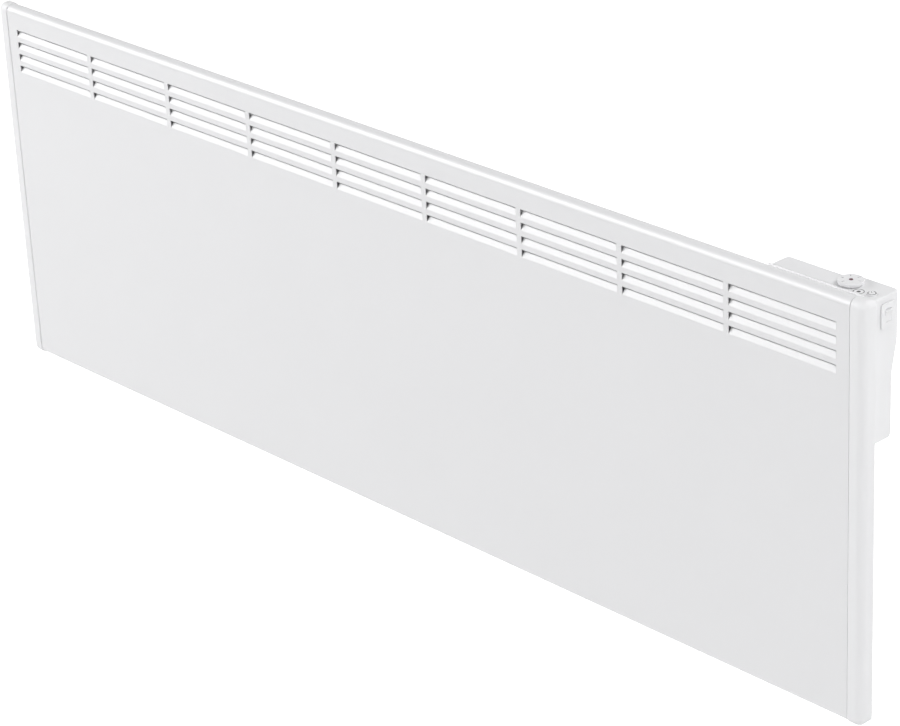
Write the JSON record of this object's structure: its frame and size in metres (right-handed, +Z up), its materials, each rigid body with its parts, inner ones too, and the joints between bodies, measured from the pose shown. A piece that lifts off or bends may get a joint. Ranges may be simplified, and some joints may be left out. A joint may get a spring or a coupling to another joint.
{
  "type": "wall panel convector heater",
  "caption": "Long, shallow white wall convector heater with louvred front, rounded end caps, rear control box with dial, button and rocker switch, and a hook-on wall bracket.",
  "frame": {"origin": "centre of the wall bracket's four screw holes, on the wall plane", "axes": "+X to the right seen from the front, along the heater's length; +Y into the wall; +Z up"},
  "size_m": [1.182, 0.0808, 0.4016],
  "materials": {
    "panel_paint": "fine satin powder coat, white",
    "casing_paint": "satin powder coat, white",
    "bracket_zinc": "galvanised sheet steel",
    "cap_plastic": "moulded plastic, fine spark texture, white",
    "box_plastic": "moulded plastic, fine spark texture, white",
    "lid_plastic": "moulded plastic, light grey",
    "zinc_screw": "zinc-plated steel",
    "element_aluminium": "extruded, bare",
    "element_steel": "stainless heating rod",
    "ceramic": "unglazed steatite",
    "inner_steel": "galvanised sheet steel",
    "cutout_phenolic": "phenolic body, plated tabs",
    "lead_brown": "silicone insulation, brown",
    "lead_blue": "silicone insulation, blue",
    "clip_plastic": "heat-resistant nylon, natural",
    "grommet_rubber": "black rubber",
    "board_green": "solder-masked glass laminate",
    "relay_black": "black case",
    "transformer_core": "taped winding on a ferrite core",
    "capacitor_sleeve": "sleeved can",
    "potentiometer_body": "pressed housing and threaded bushing",
    "spindle_plastic": "nylon spindle",
    "dial_plastic": "moulded plastic, satin, white",
    "dial_red": "red dot",
    "led_epoxy": "tinted epoxy",
    "lens_dark": "dark tinted lens",
    "button_plastic": "moulded plastic, semi-gloss, white",
    "contact_black": "black key-switch body",
    "switch_plastic": "moulded plastic, semi-gloss, white",
    "terminal_metal": "tinned brass",
    "terminal_plastic": "natural nylon",
    "sensor_epoxy": "epoxy-dipped bead",
    "inlet_plastic": "moulded plastic, white"
  },
  "bodies": {
    "wall_bracket": {"bracket_upright_left": "bracket_zinc", "bracket_upright_right": "bracket_zinc", "bracket_rail_upper": "bracket_zinc", "bracket_rail_lower": "bracket_zinc", "bracket_rivets": "zinc_screw"},
    "heater": {"front_panel": "panel_paint", "end_cap_left": "cap_plastic", "end_cap_right": "cap_plastic", "end_cap_screws": "zinc_screw", "rear_casing": "casing_paint", "casing_screws": "zinc_screw", "heating_element": "element_aluminium", "element_rod": "element_steel", "element_bushes": "ceramic", "element_bracket_left": "inner_steel", "element_bracket_right": "inner_steel", "element_screws": "zinc_screw", "overheat_cutout": "cutout_phenolic", "cutout_screws": "zinc_screw", "lead_left": "lead_blue", "lead_feed": "lead_brown", "lead_right": "lead_brown", "lead_clips": "clip_plastic", "lead_grommet": "grommet_rubber", "control_housing": "box_plastic", "control_lid": "lid_plastic", "control_screws": "zinc_screw", "power_board": "board_green", "power_relay": "relay_black", "power_transformer": "transformer_core", "board_capacitor": "capacitor_sleeve", "board_screws": "zinc_screw", "control_board": "board_green", "thermostat_potentiometer": "potentiometer_body", "indicator_led": "led_epoxy", "indicator_lens": "lens_dark", "button_switch": "contact_black", "switch_frame": "switch_plastic", "switch_terminals": "terminal_metal", "terminal_block": "terminal_plastic", "terminal_screws": "zinc_screw", "room_sensor": "sensor_epoxy", "cord_inlet": "inlet_plastic"},
    "dial": {"thermostat_dial": "dial_plastic", "dial_centre": "dial_red", "thermostat_spindle": "spindle_plastic"},
    "button": {"setback_button": "button_plastic"},
    "rocker": {"power_rocker": "switch_plastic"}
  },
  "joints": [
    {"name": "heater_lift", "type": "slide", "parent": "wall_bracket", "child": "heater", "axis": [0, 0, 1], "range_m": [0, 0.012]},
    {"name": "dial_turn", "type": "hinge", "parent": "heater", "child": "dial", "pos_m": [0.5491, -0.04765, 0.1962], "axis": [0, 0, 1], "range_deg": [-135, 135]},
    {"name": "button_press", "type": "slide", "parent": "heater", "child": "button", "axis": [0, 0, -1], "range_m": [0, 0.0006], "stiffness_N_per_m": 800, "springref_m": -0.0005},
    {"name": "rocker_tilt", "type": "hinge", "parent": "heater", "child": "rocker", "pos_m": [0.5852, -0.0463, 0.1788], "axis": [0, 1, 0], "range_deg": [-20, 0]}
  ]
}
